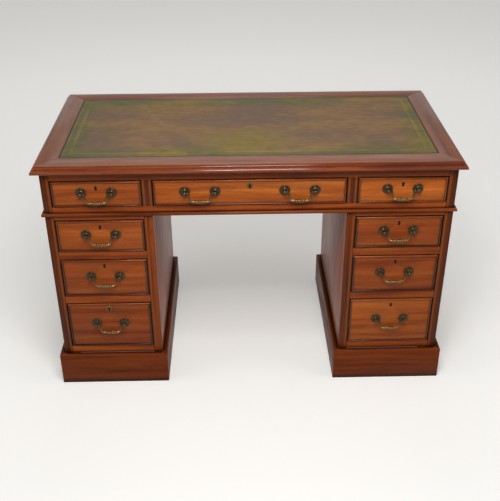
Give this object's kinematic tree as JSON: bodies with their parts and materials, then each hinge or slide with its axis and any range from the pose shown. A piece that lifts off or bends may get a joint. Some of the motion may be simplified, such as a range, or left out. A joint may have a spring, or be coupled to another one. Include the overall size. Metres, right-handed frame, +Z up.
{
  "type": "pedestal desk",
  "caption": "Mahogany pedestal writing desk with a leather-inset moulded top, beaded drawers in the frieze and in both pedestals, brass swan-neck handles and plinth bases.",
  "frame": {"origin": "on the floor under the middle of the desk", "axes": "+X to the right along the front, +Y from the drawer fronts to the back, +Z up"},
  "size_m": [1.22, 0.61, 0.76],
  "materials": {
    "top_mahogany": "french polish",
    "carcass_mahogany": "french polish",
    "front_mahogany": "french polish",
    "plinth_mahogany": "french polish",
    "drawer_lining": "bare timber",
    "secondary_timber": "bare timber",
    "leather": "worn, tooled",
    "brass": "antique"
  },
  "bodies": {
    "desk": {"writing_leather": "leather", "top_board": "secondary_timber", "top_border": "top_mahogany", "frieze_ends": "carcass_mahogany", "frieze_back": "carcass_mahogany", "frieze_front_frame": "carcass_mahogany", "frieze_runners": "secondary_timber", "frieze_moulding": "carcass_mahogany", "locating_pegs": "secondary_timber", "left_outer_side": "carcass_mahogany", "left_inner_side": "carcass_mahogany", "left_pedestal_back": "carcass_mahogany", "left_pedestal_boards": "secondary_timber", "left_front_frame": "carcass_mahogany", "left_runners": "secondary_timber", "left_plinth": "plinth_mahogany", "right_outer_side": "carcass_mahogany", "right_inner_side": "carcass_mahogany", "right_pedestal_back": "carcass_mahogany", "right_pedestal_boards": "secondary_timber", "right_front_frame": "carcass_mahogany", "right_runners": "secondary_timber", "right_plinth": "plinth_mahogany"},
    "frieze_left_drawer": {"frieze_left_drawer_front": "front_mahogany", "frieze_left_drawer_box": "drawer_lining", "frieze_left_brasses": "brass"},
    "frieze_left_bail": {"frieze_left_bail": "brass"},
    "frieze_centre_drawer": {"frieze_centre_drawer_front": "front_mahogany", "frieze_centre_drawer_box": "drawer_lining", "frieze_centre_brasses": "brass"},
    "frieze_centre_bail_left": {"frieze_centre_bail_left": "brass"},
    "frieze_centre_bail_right": {"frieze_centre_bail_right": "brass"},
    "frieze_right_drawer": {"frieze_right_drawer_front": "front_mahogany", "frieze_right_drawer_box": "drawer_lining", "frieze_right_brasses": "brass"},
    "frieze_right_bail": {"frieze_right_bail": "brass"},
    "left_upper_drawer": {"left_upper_drawer_front": "front_mahogany", "left_upper_drawer_box": "drawer_lining", "left_upper_brasses": "brass"},
    "left_upper_bail": {"left_upper_bail": "brass"},
    "left_middle_drawer": {"left_middle_drawer_front": "front_mahogany", "left_middle_drawer_box": "drawer_lining", "left_middle_brasses": "brass"},
    "left_middle_bail": {"left_middle_bail": "brass"},
    "left_lower_drawer": {"left_lower_drawer_front": "front_mahogany", "left_lower_drawer_box": "drawer_lining", "left_lower_brasses": "brass"},
    "left_lower_bail": {"left_lower_bail": "brass"},
    "right_upper_drawer": {"right_upper_drawer_front": "front_mahogany", "right_upper_drawer_box": "drawer_lining", "right_upper_brasses": "brass"},
    "right_upper_bail": {"right_upper_bail": "brass"},
    "right_middle_drawer": {"right_middle_drawer_front": "front_mahogany", "right_middle_drawer_box": "drawer_lining", "right_middle_brasses": "brass"},
    "right_middle_bail": {"right_middle_bail": "brass"},
    "right_lower_drawer": {"right_lower_drawer_front": "front_mahogany", "right_lower_drawer_box": "drawer_lining", "right_lower_brasses": "brass"},
    "right_lower_bail": {"right_lower_bail": "brass"}
  },
  "joints": [
    {"name": "frieze_left_drawer_slide", "type": "slide", "parent": "desk", "child": "frieze_left_drawer", "axis": [0, -1, 0], "range_m": [0, 0.38]},
    {"name": "frieze_left_bail_swing", "type": "hinge", "parent": "frieze_left_drawer", "child": "frieze_left_bail", "pos_m": [-0.435, -0.298, 0.67382], "axis": [-1, 0, 0], "range_deg": [-10, 180]},
    {"name": "frieze_centre_drawer_slide", "type": "slide", "parent": "desk", "child": "frieze_centre_drawer", "axis": [0, -1, 0], "range_m": [0, 0.38]},
    {"name": "frieze_centre_bail_left_swing", "type": "hinge", "parent": "frieze_centre_drawer", "child": "frieze_centre_bail_left", "pos_m": [-0.142, -0.298, 0.67382], "axis": [-1, 0, 0], "range_deg": [-10, 180]},
    {"name": "frieze_centre_bail_right_swing", "type": "hinge", "parent": "frieze_centre_drawer", "child": "frieze_centre_bail_right", "pos_m": [0.142, -0.298, 0.67382], "axis": [-1, 0, 0], "range_deg": [-10, 180]},
    {"name": "frieze_right_drawer_slide", "type": "slide", "parent": "desk", "child": "frieze_right_drawer", "axis": [0, -1, 0], "range_m": [0, 0.38]},
    {"name": "frieze_right_bail_swing", "type": "hinge", "parent": "frieze_right_drawer", "child": "frieze_right_bail", "pos_m": [0.435, -0.298, 0.67382], "axis": [-1, 0, 0], "range_deg": [-10, 180]},
    {"name": "left_upper_drawer_slide", "type": "slide", "parent": "desk", "child": "left_upper_drawer", "axis": [0, -1, 0], "range_m": [0, 0.38]},
    {"name": "left_upper_bail_swing", "type": "hinge", "parent": "left_upper_drawer", "child": "left_upper_bail", "pos_m": [-0.435, -0.298, 0.53778], "axis": [-1, 0, 0], "range_deg": [-10, 180]},
    {"name": "left_middle_drawer_slide", "type": "slide", "parent": "desk", "child": "left_middle_drawer", "axis": [0, -1, 0], "range_m": [0, 0.38]},
    {"name": "left_middle_bail_swing", "type": "hinge", "parent": "left_middle_drawer", "child": "left_middle_bail", "pos_m": [-0.435, -0.298, 0.39474], "axis": [-1, 0, 0], "range_deg": [-10, 180]},
    {"name": "left_lower_drawer_slide", "type": "slide", "parent": "desk", "child": "left_lower_drawer", "axis": [0, -1, 0], "range_m": [0, 0.38]},
    {"name": "left_lower_bail_swing", "type": "hinge", "parent": "left_lower_drawer", "child": "left_lower_bail", "pos_m": [-0.435, -0.298, 0.22356], "axis": [-1, 0, 0], "range_deg": [-10, 180]},
    {"name": "right_upper_drawer_slide", "type": "slide", "parent": "desk", "child": "right_upper_drawer", "axis": [0, -1, 0], "range_m": [0, 0.38]},
    {"name": "right_upper_bail_swing", "type": "hinge", "parent": "right_upper_drawer", "child": "right_upper_bail", "pos_m": [0.435, -0.298, 0.53778], "axis": [-1, 0, 0], "range_deg": [-10, 180]},
    {"name": "right_middle_drawer_slide", "type": "slide", "parent": "desk", "child": "right_middle_drawer", "axis": [0, -1, 0], "range_m": [0, 0.38]},
    {"name": "right_middle_bail_swing", "type": "hinge", "parent": "right_middle_drawer", "child": "right_middle_bail", "pos_m": [0.435, -0.298, 0.39474], "axis": [-1, 0, 0], "range_deg": [-10, 180]},
    {"name": "right_lower_drawer_slide", "type": "slide", "parent": "desk", "child": "right_lower_drawer", "axis": [0, -1, 0], "range_m": [0, 0.38]},
    {"name": "right_lower_bail_swing", "type": "hinge", "parent": "right_lower_drawer", "child": "right_lower_bail", "pos_m": [0.435, -0.298, 0.22356], "axis": [-1, 0, 0], "range_deg": [-10, 180]}
  ]
}
